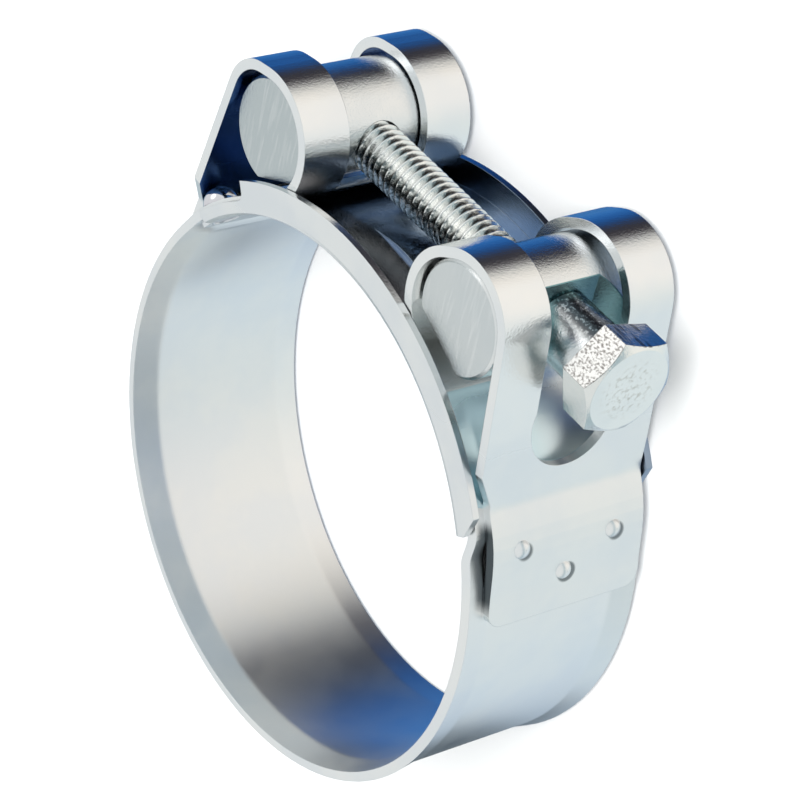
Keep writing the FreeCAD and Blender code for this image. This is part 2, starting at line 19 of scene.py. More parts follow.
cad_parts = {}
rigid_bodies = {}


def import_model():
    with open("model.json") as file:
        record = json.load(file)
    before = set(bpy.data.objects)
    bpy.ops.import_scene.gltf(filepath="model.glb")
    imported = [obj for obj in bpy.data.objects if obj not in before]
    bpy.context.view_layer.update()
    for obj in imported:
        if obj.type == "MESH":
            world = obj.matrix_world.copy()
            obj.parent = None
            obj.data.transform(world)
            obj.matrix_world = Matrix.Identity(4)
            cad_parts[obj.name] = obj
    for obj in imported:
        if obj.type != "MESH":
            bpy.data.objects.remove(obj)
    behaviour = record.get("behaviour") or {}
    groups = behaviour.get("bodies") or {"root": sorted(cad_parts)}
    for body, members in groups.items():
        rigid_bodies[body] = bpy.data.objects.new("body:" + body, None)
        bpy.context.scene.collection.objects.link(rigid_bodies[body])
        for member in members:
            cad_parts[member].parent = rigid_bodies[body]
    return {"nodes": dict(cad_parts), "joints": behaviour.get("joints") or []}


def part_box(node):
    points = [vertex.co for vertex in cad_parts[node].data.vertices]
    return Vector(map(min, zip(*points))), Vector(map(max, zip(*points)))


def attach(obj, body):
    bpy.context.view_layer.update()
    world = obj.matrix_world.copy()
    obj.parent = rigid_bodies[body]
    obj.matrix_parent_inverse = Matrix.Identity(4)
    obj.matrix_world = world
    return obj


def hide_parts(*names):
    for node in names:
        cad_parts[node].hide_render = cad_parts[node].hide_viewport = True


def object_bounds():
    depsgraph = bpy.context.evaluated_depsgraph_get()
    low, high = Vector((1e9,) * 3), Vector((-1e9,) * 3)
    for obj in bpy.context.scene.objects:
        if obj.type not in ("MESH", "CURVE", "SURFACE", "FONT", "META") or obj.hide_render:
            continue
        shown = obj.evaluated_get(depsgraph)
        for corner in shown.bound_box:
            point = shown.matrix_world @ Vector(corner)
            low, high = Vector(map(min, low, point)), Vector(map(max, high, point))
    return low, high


for leftover in list(bpy.data.objects):
    bpy.data.objects.remove(leftover)

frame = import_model()
nodes = frame["nodes"]
cad_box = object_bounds()
mm = 0.001
joint_place = {joint["name"]: joint["pos_m"] for joint in frame["joints"] if "pos_m" in joint}
print("solids:", sorted(nodes), "from", tuple(cad_box[0]), "to", tuple(cad_box[1]))

# %% [markdown]
# ## Camera
#
# The photograph looks down on the clamp, which lies on its side, from beyond the bolt's head. A camera
# could be turned until the picture looks right, but three readings say it better: where the lens is,
# which point of the clamp is in the middle of the picture, and how far the picture is rolled.

# %% Camera at the photograph's angle
camera_place = Vector((190.774, 201.363, 180.542)) * mm
camera_aim = Vector((1.733, 11.178, 0.0)) * mm
camera_roll = math.radians(104.73)
camera_lens = 135.66
camera_sensor = 36.0
camera_near = 10.0 * mm

camera_data = bpy.data.cameras.new("studio_camera")
camera_data.lens = camera_lens
camera_data.sensor_width = camera_sensor
camera_data.clip_start = camera_near
camera = bpy.data.objects.new("studio_camera", camera_data)
bpy.context.scene.collection.objects.link(camera)
looking = (camera_aim - camera_place).to_track_quat("-Z", "Y").to_matrix().to_4x4()
camera.matrix_world = Matrix.Translation(camera_place) @ looking @ Matrix.Rotation(-camera_roll, 4, "Z")
bpy.context.scene.camera = camera
print("camera", round((camera_aim - camera_place).length / mm), "mm from the clamp")

# %% [markdown]
# ## Colours and nodes
#
# Paint charts and screens give a colour as a hex value in sRGB, while Blender mixes light in linear
# values. One function turns the first into the second. A second one adds any node to a tree with its
# settings and its links, so that a material reads as a list of steps. Two settings come back often:
# smooth makes a Map Range ease in and out, and in_colour makes a Mix node mix colours. Such a Mix has
# its factor at input 0, its two colours at inputs 6 and 7, and its result at output 2.

# %% Helpers for colours and nodes
smooth = {"interpolation_type": "SMOOTHSTEP"}
in_colour = {"data_type": "RGBA"}


def linear(hex_value):
    """Return a hex sRGB colour as linear RGBA: c / 12.92 near black, else ((c + 0.055) / 1.055) ^ 2.4."""
    steps = np.array([int(hex_value[start:start + 2], 16) for start in (1, 3, 5)]) / 255.0
    rgb = np.where(steps <= 0.04045, steps / 12.92, ((steps + 0.055) / 1.055) ** 2.4)
    return (*rgb.tolist(), 1.0)


def add(tree, kind, settings=None, **inputs):
    """Add a node. settings are its own properties, and each input is a value or a socket to link.

    An input is named by its label, with _ for each space, or by _ and its number.
    """
    made = tree.nodes.new(kind)
    for name, value in (settings or {}).items():
        setattr(made, name, value)
    for name, value in inputs.items():
        key = int(name[1:]) if name[0] == "_" else name.replace("_", " ")
        if isinstance(value, bpy.types.NodeSocket):
            tree.links.new(value, made.inputs[key])
        else:
            made.inputs[key].default_value = value
    return made


def ramp_stops(ramp_node, stops):
    """Set a colour ramp's stops from (position, hex colour) pairs."""
    elements = ramp_node.color_ramp.elements
    while len(elements) < len(stops):
        elements.new(0.5)
    for element, (position, colour) in zip(elements, stops):
        element.position = position
        element.color = linear(colour)


print("white is", linear("#ffffff"), "and mid grey", round(linear("#808080")[0], 3))

# %% [markdown]
# ## Floor
#
# The clamp lies on plain white paper. The paper is a flat grid a little below the lowest flange, wide
# enough to fill the picture from any side. Polished zinc in a studio doesn't mirror the paper under it
# alone but the room around it, so the paper is left out of the metal's reflections and the room, which
# a later step makes, is what the strip shows. The paper's size is in metres.

# %% Paper floor
paper_half = 4.0
paper_rows = 9
paper_gap = 0.03 * mm
floor_z = cad_box[0].z - paper_gap


def flat_grid(half, height, count):
    """Return a square sheet: x and y run from -half to half in equal steps, z is the height."""
    line = np.linspace(-half, half, count)
    x, y = np.meshgrid(line, line, indexing="ij")
    points = np.stack([x, y, np.full_like(x, height)], axis=-1).reshape(-1, 3)
    corner = (np.arange(count - 1)[:, None] * count + np.arange(count - 1)).ravel()
    quads = np.stack([corner, corner + count, corner + count + 1, corner + 1], axis=-1)
    return points, quads


def new_mesh(name, points, faces):
    """Put an array of points and a list of faces into a new object at the origin."""
    mesh = bpy.data.meshes.new(name)
    mesh.from_pydata(points, [], faces)
    mesh.update()
    piece = bpy.data.objects.new(name, mesh)
    bpy.context.scene.collection.objects.link(piece)
    return piece


def new_tree(name):
    """Return a new material and its emptied node tree."""
    material = bpy.data.materials.new(name)
    material.use_nodes = True
    material.node_tree.nodes.clear()
    return material, material.node_tree


paper_points, paper_quads = flat_grid(paper_half, floor_z, paper_rows)
paper = new_mesh("paper_floor", paper_points, paper_quads.tolist())
paper_material, tree = new_tree("matt white paper")
paper_shader = add(tree, "ShaderNodeBsdfDiffuse", Color=linear("#fdfdfd"), Roughness=0.9)
add(tree, "ShaderNodeOutputMaterial", Surface=paper_shader.outputs[0])
paper.data.materials.append(paper_material)
paper.visible_glossy = False
print("paper at", round(floor_z / mm, 2), "mm")

# %% [markdown]
# ## Dark card
#
# The ring's outer side turns dark towards the paper, where it mirrors the paper in the clamp's own
# shadow.
# The paper itself is out of the reflections, so a dark card lies below it in its place: a painted shadow
# that stands in for that shade. Neither the camera nor the paper sees the card, only polished metal
# does. Its edges fade, one along a slope and one along X, so that no hard line shows in the metal.

# %% Painted shadow card under the paper
card_z = -60.0
card_low, card_high = (-45.0, -175.0), (62.0, -70.0)
card_slope = (-0.35, -0.94, 0.0)
card_fade = (80.0, 102.0)
card_side = (-43.0, -31.0)

card_points = np.array([
    [card_low[0], card_low[1], card_z], [card_high[0], card_low[1], card_z],
    [card_high[0], card_high[1], card_z], [card_low[0], card_high[1], card_z],
]) * mm
shadow_card_sheet = new_mesh("shadow_card_sheet", card_points, [(0, 1, 2, 3)])
card_material, tree = new_tree("painted shadow card")
card_place = add(tree, "ShaderNodeTexCoord").outputs["Object"]
card_way = add(
    tree, "ShaderNodeVectorMath", {"operation": "DOT_PRODUCT"}, _0=card_place, _1=card_slope
)
card_share = add(
    tree, "ShaderNodeMapRange", smooth, Value=card_way.outputs["Value"],
    From_Min=card_fade[0] * mm, From_Max=card_fade[1] * mm,
)
card_x = add(tree, "ShaderNodeSeparateXYZ", Vector=card_place).outputs["X"]
side_share = add(
    tree, "ShaderNodeMapRange", smooth, Value=card_x,
    From_Min=card_side[0] * mm, From_Max=card_side[1] * mm,
)
card_cover = add(
    tree, "ShaderNodeMath", {"operation": "MULTIPLY"}, _0=card_share.outputs[0], _1=side_share.outputs[0]
)
card_clear = add(tree, "ShaderNodeBsdfTransparent")
# Its colour is a painted shadow: the paper in the clamp's shade, as the metal mirrors it.
card_shadow_glow = add(tree, "ShaderNodeEmission", Color=linear("#2f3e4c"), Strength=1.0)
card_mixed = add(
    tree, "ShaderNodeMixShader",
    _0=card_cover.outputs[0], _1=card_clear.outputs[0], _2=card_shadow_glow.outputs[0],
)
add(tree, "ShaderNodeOutputMaterial", Surface=card_mixed.outputs[0])
shadow_card_sheet.data.materials.append(card_material)
shadow_card_sheet.visible_camera = False
shadow_card_sheet.visible_diffuse = False
shadow_card_sheet.visible_shadow = False
shadow_card_sheet.visible_transmission = False
print("card from", card_low, "to", card_high, "mm")

# %% [markdown]
# ## Room
#
# A polished metal has hardly a colour of its own, it shows the room. In the photograph each side of the
# strip mirrors what lies beyond and below it: cream and white towards the camera, pale blue round the
# sides, and a dark blue screen behind. Lamps alone would leave the far side white, and cards around the
# clamp would have to be moved for each surface, so the room is painted on the world by direction:
# a ramp round the compass below the horizon, a dull band at the horizon, and a plain pale ceiling with
# one bright window, which the small facets of the bolt's head catch. A stop at 0 looks towards -X, one
# at 0.25 towards -Y, one at 0.5 towards +X and one at 0.75 towards +Y. What a stretch of strip shows,
# divided by the zinc's own colour, is the tone of the room that it mirrors. The stops began as such
# quotients, and were then moved and corrected until the clamp looked right.

# %% Room painted on the world
room_stops = [
    (0.000, "#2f69ae"),
    (0.040, "#3a76ba"),
    (0.085, "#4a7bae"),
    (0.117, "#6f8fb5"),
    (0.194, "#adbfcf"),
    (0.283, "#d0dde8"),
    (0.328, "#dae7ee"),
    (0.480, "#e6eceb"),
    (0.600, "#fdf9f3"),
    (0.700, "#fcf8f2"),
    (0.735, "#f3ede5"),
    (0.765, "#dedbd5"),
    (0.789, "#b4b3b1"),
    (0.812, "#5c585a"),
    (0.830, "#3a373b"),
    (0.880, "#38383f"),
    (0.910, "#25426d"),
    (0.950, "#255798"),
    (1.000, "#2f69ae"),
]
band_colour = "#a6bac2"
ceiling_colour = "#e6e9e9"
band_top, band_fade_top = -0.03, 0.06
band_low, band_fade_low = -0.36, -0.24
window_way = Vector((-0.57, 0.55, 0.60)).normalized()
window_inner, window_outer = math.radians(9.0), math.radians(20.0)
window_light = (1.6, 1.6, 1.6, 1.0)

world = bpy.data.worlds.new("studio_room")
bpy.context.scene.world = world
world.use_nodes = True
tree = world.node_tree
tree.nodes.clear()
direction = add(tree, "ShaderNodeTexCoord").outputs["Generated"]
parts = add(tree, "ShaderNodeSeparateXYZ", Vector=direction).outputs
compass = add(tree, "ShaderNodeMath", {"operation": "ARCTAN2"}, _0=parts["Y"], _1=parts["X"])
share = add(
    tree, "ShaderNodeMapRange", Value=compass.outputs[0], From_Min=-math.pi, From_Max=math.pi
)
around = add(tree, "ShaderNodeValToRGB", Fac=share.outputs[0])
ramp_stops(around, room_stops)
to_band = add(
    tree, "ShaderNodeMapRange", smooth, Value=parts["Z"], From_Min=band_low, From_Max=band_fade_low
)
to_ceiling = add(
    tree, "ShaderNodeMapRange", smooth, Value=parts["Z"], From_Min=band_top, From_Max=band_fade_top
)
with_band = add(
    tree, "ShaderNodeMix", in_colour,
    _0=to_band.outputs[0], _6=around.outputs[0], _7=linear(band_colour),
)
with_ceiling = add(
    tree, "ShaderNodeMix", in_colour,
    _0=to_ceiling.outputs[0], _6=with_band.outputs[2], _7=linear(ceiling_colour),
)
towards_window = add(
    tree, "ShaderNodeVectorMath", {"operation": "DOT_PRODUCT"}, _0=direction, _1=window_way
)
in_window = add(
    tree, "ShaderNodeMapRange", smooth, Value=towards_window.outputs["Value"],
    From_Min=math.cos(window_outer), From_Max=math.cos(window_inner),
)
with_window = add(
    tree, "ShaderNodeMix", in_colour,
    _0=in_window.outputs[0], _6=with_ceiling.outputs[2], _7=window_light,
)
backdrop = add(tree, "ShaderNodeBackground", Color=with_window.outputs[2], Strength=1.0)
add(tree, "ShaderNodeOutputWorld", Surface=backdrop.outputs[0])
print("room with", len(room_stops), "tones round the compass")

# %% [markdown]
# ## Lamp
#
# One large soft lamp stands above the camera's side, as a studio softbox does. It gives the paper its
# soft shadow. Its power is set so that paper and room together give white. It is left out of the
# metal's reflections, because there it would show as a white blob on each small facet. Its size and
# place are in metres.

# %% Softbox
softbox_size = 0.5
softbox_place = Vector((0.35, 0.45, 0.75))
softbox_power = 4.6

softbox_data = bpy.data.lights.new("softbox", "AREA")
softbox_data.shape = "SQUARE"
softbox_data.size = softbox_size
softbox_data.energy = softbox_power
softbox = bpy.data.objects.new("softbox", softbox_data)
softbox.location = softbox_place
softbox.visible_glossy = False
softbox.rotation_euler = (-softbox_place).to_track_quat("-Z", "Y").to_euler()
bpy.context.scene.collection.objects.link(softbox)
bpy.context.scene.view_settings.view_transform = "Standard"
print("softbox", softbox_size, "m wide at", round(softbox_place.length, 2), "m")

# %% [markdown]
# ## Zinc finishes
#
# Zinc from a bright plating bath is a pale metal with a breath of blue from its passivation. Its
# crystals break up a reflection into specks at its edge. Real ones are finer than a pixel, so they are
# drawn about 0.25 mm wide. On rolled strip, faint lines also run along the strip. A plain grey metal
# would do from afar, but close up it looks like chrome, so one function builds the finish from clouds,
# lines and crystals. Cut edges are rounded by the barrel, which a Bevel node shows without a change to
# the solids.

# %% Zinc plating
cloud_spacing, cloud_limits = 9.0, (0.35, 0.65)
line_stretch, line_weight = (0.04, 0.04, 1.0), 0.5
stretch_start, stretch_end = 24.0, 30.0
calm_relief = 0.12


def zinc_finish(name, tones, roughness, grain, lines, edge, calm=0.0):
    """Return a material of zinc plating.

    tones are the two hex colours that the clouds of passivation run between. roughness is a pair
    from the smoothest to the dullest patch. grain is the (size, height) of the crystals and lines the
    (spacing, height) of the rolling lines, and edge is the radius of the cut edges, all in mm.
    Crystals stand out where the metal was stretched over the bars, at the top of the clamp, and calm
    is how much duller it is where it wasn't.
    """
    material, tree = new_tree(name)
    place = add(tree, "ShaderNodeTexCoord").outputs["Object"]
    clouds = add(
        tree, "ShaderNodeTexNoise",
        Vector=place, Scale=1.0 / (cloud_spacing * mm), Detail=3.0, Roughness=0.55,
    )
    cloud_share = add(
        tree, "ShaderNodeMapRange", smooth,
        Value=clouds.outputs[0], From_Min=cloud_limits[0], From_Max=cloud_limits[1],
    )
    colour = add(
        tree, "ShaderNodeMix", in_colour,
        _0=cloud_share.outputs[0], _6=linear(tones[0]), _7=linear(tones[1]),
    )
    along = add(tree, "ShaderNodeMapping", Vector=place, Scale=line_stretch)
    rolled = add(
        tree, "ShaderNodeTexNoise", Vector=along.outputs[0], Scale=1.0 / (lines[0] * mm), Detail=2.0
    )
    height_y = add(tree, "ShaderNodeSeparateXYZ", Vector=place).outputs["Y"]
    stretched = add(
        tree, "ShaderNodeMapRange", smooth,
        Value=height_y, From_Min=stretch_start * mm, From_Max=stretch_end * mm,
    )
    dull = add(
        tree, "ShaderNodeMath", {"operation": "MULTIPLY_ADD"},
        _0=rolled.outputs[0], _1=line_weight, _2=cloud_share.outputs[0],
    )
    rough = add(
        tree, "ShaderNodeMapRange", Value=dull.outputs[0],
        From_Min=0.0, From_Max=1.0 + line_weight, To_Min=roughness[0], To_Max=roughness[1],
    )
    calmed = add(
        tree, "ShaderNodeMapRange", Value=stretched.outputs[0], To_Min=calm, To_Max=0.0
    )
    full_rough = add(
        tree, "ShaderNodeMath", {"operation": "ADD"}, _0=rough.outputs[0], _1=calmed.outputs[0]
    )
    crystals = add(
        tree, "ShaderNodeTexNoise",
        Vector=place, Scale=1.0 / (grain[0] * mm), Detail=3.0, Roughness=0.65,
    )
    relief = add(
        tree, "ShaderNodeMapRange", Value=stretched.outputs[0], To_Min=calm_relief, To_Max=1.0
    )
    rounded = add(tree, "ShaderNodeBevel", {"samples": 6}, Radius=edge * mm)
    grained = add(
        tree, "ShaderNodeBump", Strength=relief.outputs[0], Distance=grain[1] * mm,
        Height=crystals.outputs[0], Normal=rounded.outputs[0],
    )
    lined = add(
        tree, "ShaderNodeBump", Strength=1.0, Distance=lines[1] * mm,
        Height=rolled.outputs[0], Normal=grained.outputs[0],
    )
    shader = add(
        tree, "ShaderNodeBsdfPrincipled", Metallic=1.0, Base_Color=colour.outputs[2],
        Roughness=full_rough.outputs[0], Normal=lined.outputs[0],
    )
    add(tree, "ShaderNodeOutputMaterial", Surface=shader.outputs[0])
    return material


print("zinc with clouds of", cloud_spacing, "mm, grainier above y", stretch_start, "mm")

# %% [markdown]
# ## Zinc on each piece
#
# All pieces come out of the same bath, but not with the same surface. Rolled strip keeps the mirror of
# the rolls, turned bar and tube and the bolt are grainier, and the rivets' domes were pressed smooth.
# One material for all would be simpler, but these differences tell the pieces apart, so each kind
# gets its own values of the one finish.

# %% Zinc for each kind of piece
strip_zinc = zinc_finish(
    "bright zinc on rolled strip", tones=("#eef1f3", "#f5f6f5"), roughness=(0.11, 0.17),
    grain=(0.26, 0.026), lines=(0.35, 0.001), edge=0.12, calm=0.17,
)
bridge_zinc = zinc_finish(
    "bright zinc on the bridge", tones=("#e8ecef", "#f0f2f2"), roughness=(0.12, 0.18),
    grain=(0.26, 0.022), lines=(0.35, 0.001), edge=0.12, calm=0.17,
)
bar_zinc = zinc_finish(
    "satin zinc on turned bar", tones=("#e8ebec", "#f0f1f0"), roughness=(0.11, 0.17),
    grain=(0.24, 0.044), lines=(0.25, 0.001), edge=0.10,
)
bolt_zinc = zinc_finish(
    "speckled zinc on the bolt", tones=("#eef0ee", "#f8f8f4"), roughness=(0.10, 0.16),
    grain=(0.30, 0.034), lines=(0.40, 0.001), edge=0.08,
)
rivet_zinc = zinc_finish(
    "mirror zinc on the rivets", tones=("#e2dfe6", "#efeeee"), roughness=(0.06, 0.11),
    grain=(0.60, 0.008), lines=(0.25, 0.0005), edge=0.08,
)
sleeve_zinc = zinc_finish(
    "shaded zinc on the sleeve", tones=("#e8ebec", "#f2f3f2"), roughness=(0.12, 0.18),
    grain=(0.26, 0.034), lines=(0.25, 0.001), edge=0.10,
)
zincs = [strip_zinc, bridge_zinc, bar_zinc, bolt_zinc, rivet_zinc, sleeve_zinc]
print("made", [zinc.name for zinc in zincs])

# %% [markdown]
# ## Masks
#
# The clamp has stains, burnt rings, dull cuts and painted shade, each in one place. Such a place could be
# painted by hand on an unwrapped mesh, but the solids have no UV map and come anew with each pack. So a
# place is described by its coordinates: a mask is a value that is 1 inside it and 0 outside, made of a
# few tests. The masks read Object coordinates, so they stay right from every side and at every pose.

# %% Helpers for masks
def tinted(material, amount, hex_value):
    """Mix a colour into a finish by an amount socket, over what its base colour already is."""
    tree = material.node_tree
    shader = next(node for node in tree.nodes if node.type == "BSDF_PRINCIPLED")
    before = shader.inputs["Base Color"].links[0].from_socket
    mixed = add(tree, "ShaderNodeMix", in_colour, _0=amount, _6=before, _7=linear(hex_value))
    tree.links.new(mixed.outputs[2], shader.inputs["Base Color"])


def place_parts(tree):
    """Return the Object place of a tree and its three separated coordinates."""
    place = add(tree, "ShaderNodeTexCoord").outputs["Object"]
    return place, add(tree, "ShaderNodeSeparateXYZ", Vector=place).outputs


def overlap(tree, shares):
    """Return the product of mask sockets, which is full only where all of them are."""
    whole = shares[0]
    for one in shares[1:]:
        whole = add(tree, "ShaderNodeMath", {"operation": "MULTIPLY"}, _0=whole, _1=one).outputs[0]
    return whole


def within(tree, tests):
    """Return a mask that is 1 where all tests hold. A test is (operation, measured socket, limit)."""
    return overlap(tree, [
        add(tree, "ShaderNodeMath", {"operation": operation}, _0=measured, _1=limit).outputs[0]
        for operation, measured, limit in tests
    ])


def reach_along(tree, place, start, way):
    """Return how far a place is past a start along a unit way: (place - start) . way."""
    off = add(tree, "ShaderNodeVectorMath", {"operation": "SUBTRACT"}, _0=place, _1=start)
    return add(
        tree, "ShaderNodeVectorMath", {"operation": "DOT_PRODUCT"}, _0=off.outputs[0], _1=way
    ).outputs["Value"]


def reach_round(tree, place, start, across):
    """Return the distance from a line through start: the length of (place - start) * across.

    across is 0 for the line's own axis and 1 for the two others.
    """
    off = add(tree, "ShaderNodeVectorMath", {"operation": "SUBTRACT"}, _0=place, _1=start)
    flat = add(tree, "ShaderNodeVectorMath", {"operation": "MULTIPLY"}, _0=off.outputs[0], _1=across)
    return add(tree, "ShaderNodeVectorMath", {"operation": "LENGTH"}, _0=flat.outputs[0]).outputs["Value"]


def speckled(tree, place, spacing, limits, amounts, stretch=(1.0, 1.0, 1.0), turn=0.0, detail=2.0):
    """Return an amount from noise, which runs between two amounts as the noise passes two limits.

    spacing is the size of a speck in mm, and stretch makes the specks long on an axis where it is
    below 1. turn is round Z, after the stretch, and so only picks another part of the noise.
    """
    stretched = add(
        tree, "ShaderNodeMapping", Vector=place, Rotation=(0.0, 0.0, turn), Scale=stretch
    )
    noise = add(
        tree, "ShaderNodeTexNoise",
        Vector=stretched.outputs[0], Scale=1.0 / (spacing * mm), Detail=detail,
    )
    return add(
        tree, "ShaderNodeMapRange", Value=noise.outputs[0],
        From_Min=limits[0], From_Max=limits[1], To_Min=amounts[0], To_Max=amounts[1],
    ).outputs[0]


joints_mm = {name: [round(value / mm, 2) for value in at] for name, at in joint_place.items()}
print("masks can be measured from the joints at", joints_mm)

# %% [markdown]
# ## Sawn ends of the bars
#
# The bars are sawn to length, so their ends are duller than their turned sides and carry saw marks.
# All of them lie at the same distance from the middle, so a limit on the distance finds them. The
# marks are noise that is stretched tenfold along Y. The bar by the head has the brighter ends.

# %% Sawn ends of the bars
bar_end = 9.82
head_side_x, head_side_amount = 10.0, 0.55

tree = bar_zinc.node_tree
bar_place, bar_parts = place_parts(tree)
from_middle = add(tree, "ShaderNodeMath", {"operation": "ABSOLUTE"}, _0=bar_parts["Z"]).outputs[0]
saw_marks = speckled(
    tree, bar_place, spacing=0.5, limits=(0.52, 0.78), amounts=(1.0, 0.45),
    stretch=(1.0, 0.10, 1.0), turn=math.radians(38.0), detail=3.0,
)
towards_head = add(
    tree, "ShaderNodeMapRange", Value=bar_parts["X"],
    From_Min=-head_side_x * mm, From_Max=head_side_x * mm, To_Min=1.0, To_Max=head_side_amount,
)
on_end = within(tree, [("GREATER_THAN", from_middle, bar_end * mm)])
tinted(bar_zinc, overlap(tree, [on_end, saw_marks, towards_head.outputs[0]]), "#c3cbcd")
print("bar ends beyond", bar_end, "mm from the middle")

# %% [markdown]
# ## Notch for the sleeve
#
# The sleeve is seated in a notch of the plain bar, with a flat floor and two walls that lean apart.
# The notch is tinted teal as painted shade, because the recess mirrors less of the bright room than the
# bar's open sides. The mask follows the milling cut: past the floor, and between two lines that move
# apart with the distance from it.

# %% Painted shade in the notch for the sleeve
notch_x, notch_half, notch_slope = 20.8, 3.95, 1.28
notch_margin = 0.1

past_floor = add(tree, "ShaderNodeMath", {"operation": "SUBTRACT"}, _0=bar_parts["X"], _1=notch_x * mm)
off_wall = add(
    tree, "ShaderNodeMath", {"operation": "MULTIPLY_ADD"},
    _0=past_floor.outputs[0], _1=-notch_slope, _2=from_middle,
)
notch_shade = within(tree, [
    ("LESS_THAN", off_wall.outputs[0], notch_half * mm),
    ("GREATER_THAN", past_floor.outputs[0], -notch_margin * mm),
])
# Teal painted shade over the notch's floor and walls.
tinted(bar_zinc, notch_shade, "#86a9ad")
print("notch from", notch_x, "mm along X")

# %% [markdown]
# ## Channel under the bolt
#
# The channel under the bolt is painted navy, with a mottle, and brown past the pressed rib, beside the
# bright flange: painted shade and reflections, since the bolt above it hides the bright room and is
# mirrored in it. The bore side of the same plate is bright and is left out by its radius.

# %% Painted shade and reflections in the channel
channel_fade = (9.6, 10.9)
channel_radius = 30.9
brown_fade, brown_amount = (4.3, 5.2), 0.85
round_ring = (1.0, 1.0, 0.0)
ring_middle = (0.0, 0.0, 0.0)

tree = bridge_zinc.node_tree
bridge_place, bridge_parts = place_parts(tree)
bridge_radius = reach_round(tree, bridge_place, ring_middle, round_ring)
inside_flange = add(
    tree, "ShaderNodeMapRange", smooth, Value=bridge_parts["Z"],
    From_Min=channel_fade[0] * mm, From_Max=channel_fade[1] * mm, To_Min=1.0, To_Max=0.0,
)
past_rib = add(
    tree, "ShaderNodeMapRange", smooth, Value=bridge_parts["Z"],
    From_Min=brown_fade[0] * mm, From_Max=brown_fade[1] * mm, To_Min=0.0, To_Max=brown_amount,
)
outside = within(tree, [("GREATER_THAN", bridge_radius, channel_radius * mm)])
channel_shade = overlap(tree, [inside_flange.outputs[0], outside])
shade_mottle = speckled(
    tree, bridge_place, spacing=5.0, limits=(0.3, 0.7), amounts=(0.70, 0.95), detail=4.0
)
# Navy painted shade with a mottle in the channel, then brown painted reflection past the rib.
tinted(bridge_zinc, overlap(tree, [channel_shade, shade_mottle]), "#7c93ae")
tinted(bridge_zinc, overlap(tree, [channel_shade, past_rib.outputs[0]]), "#7e7b7c")
print("channel up to", channel_fade[1], "mm from the middle")

# %% [markdown]
# ## Spot welds
#
# A spot weld leaves a burnt ring round its button, which zinc covers badly, and the button casts a
# small shadow beside it. A full dark ring would look like a hole, so only a crescent is drawn on the
# shadow's side: the burnt ring together with a painted shadow of the button. It is what is outside the
# button, but inside a second ball whose middle is moved a little from the button's.

# %% Burnt rings and painted shadows of the spot welds
weld_radius = 32.85
weld_marks = [(26.1, 5.4), (24.9, -6.55), (19.5, -0.3)]
crescent_shift = Vector((0.0, -0.36, -0.42))
button_edge, crescent_edge = (0.92, 1.02), (1.0, 1.3)
crescent_amount = 0.75

tree = strip_zinc.node_tree
strip_place, strip_parts = place_parts(tree)
burn_and_shadow = 0.0
for weld_angle, weld_z in weld_marks:
    turn = math.radians(weld_angle)
    weld_middle = Vector((weld_radius * math.cos(turn), weld_radius * math.sin(turn), weld_z))
    off_button = add(
        tree, "ShaderNodeVectorMath", {"operation": "DISTANCE"}, _0=strip_place, _1=weld_middle * mm
    )
    off_shifted = add(
        tree, "ShaderNodeVectorMath", {"operation": "DISTANCE"},
        _0=strip_place, _1=(weld_middle + crescent_shift) * mm,
    )
    outside_button = add(
        tree, "ShaderNodeMapRange", smooth, Value=off_button.outputs["Value"],
        From_Min=button_edge[0] * mm, From_Max=button_edge[1] * mm,
    )
    near_shifted = add(
        tree, "ShaderNodeMapRange", smooth, Value=off_shifted.outputs["Value"],
        From_Min=crescent_edge[0] * mm, From_Max=crescent_edge[1] * mm,
        To_Min=crescent_amount, To_Max=0.0,
    )
    crescent = overlap(tree, [outside_button.outputs[0], near_shifted.outputs[0]])
    burn_and_shadow = add(tree, "ShaderNodeMath", {"operation": "MAXIMUM"}, _0=burn_and_shadow, _1=crescent).outputs[0]
# Dark crescents: each weld's burnt ring with the button's painted shadow.
tinted(strip_zinc, burn_and_shadow, "#33424a")
print("burnt rings at", weld_marks)

# %% [markdown]
# ## Inside of the threaded bar's loop
#
# The straight leaf beside the threaded bar shows its inner face, which is nearly closed in. It is
# painted dark blue: painted shade and dark reflection in the closed-in loop. Its plane leans by the same
# angle as the leaf, so the face lies between two heights over the bar's axis along the leaf's outward
# way. The face's own normal is tested too, so that the bright cut edge beside it stays bright.

# %% Painted shade inside the threaded bar's loop
loop_lean = math.radians(10.4)
leaf_from, leaf_to, leaf_low_y = 4.6, 7.0, 20.5
inward_limit = -0.3

leaf_out = (-math.cos(loop_lean), math.sin(loop_lean), 0.0)
leaf_height = reach_along(tree, strip_place, joint_place["nut_trunnion_rock"], leaf_out)
face_way = add(tree, "ShaderNodeNewGeometry").outputs["Normal"]
facing = add(tree, "ShaderNodeVectorMath", {"operation": "DOT_PRODUCT"}, _0=face_way, _1=leaf_out)
loop_shade = within(tree, [
    ("GREATER_THAN", leaf_height, leaf_from * mm),
    ("LESS_THAN", leaf_height, leaf_to * mm),
    ("LESS_THAN", facing.outputs["Value"], inward_limit),
    ("GREATER_THAN", strip_parts["Y"], leaf_low_y * mm),
])
# Dark blue painted shade on the loop's closed-in inner face.
tinted(strip_zinc, loop_shade, "#3f6394")
print("dark inside the loop from", leaf_from, "to", leaf_to, "mm off the bar's axis")

# %% [markdown]
# ## Shadow beside the outer leaf
#
# Where the leaf lies on the ring, a narrow crevice runs along its edge, into which little light falls.
# A painted shadow draws it: a thin dark line on the ring's outside, just past the leaf's edge, that fades
# at both ends.

# %% Painted shadow beside the outer leaf
crevice_from, crevice_to = 9.12, 9.45
crevice_start = crevice_from - 0.04
crevice_rise, crevice_fall = (13.0, 17.5), (30.0, 33.0)
crevice_radius = 31.2
crevice_amount = 0.9

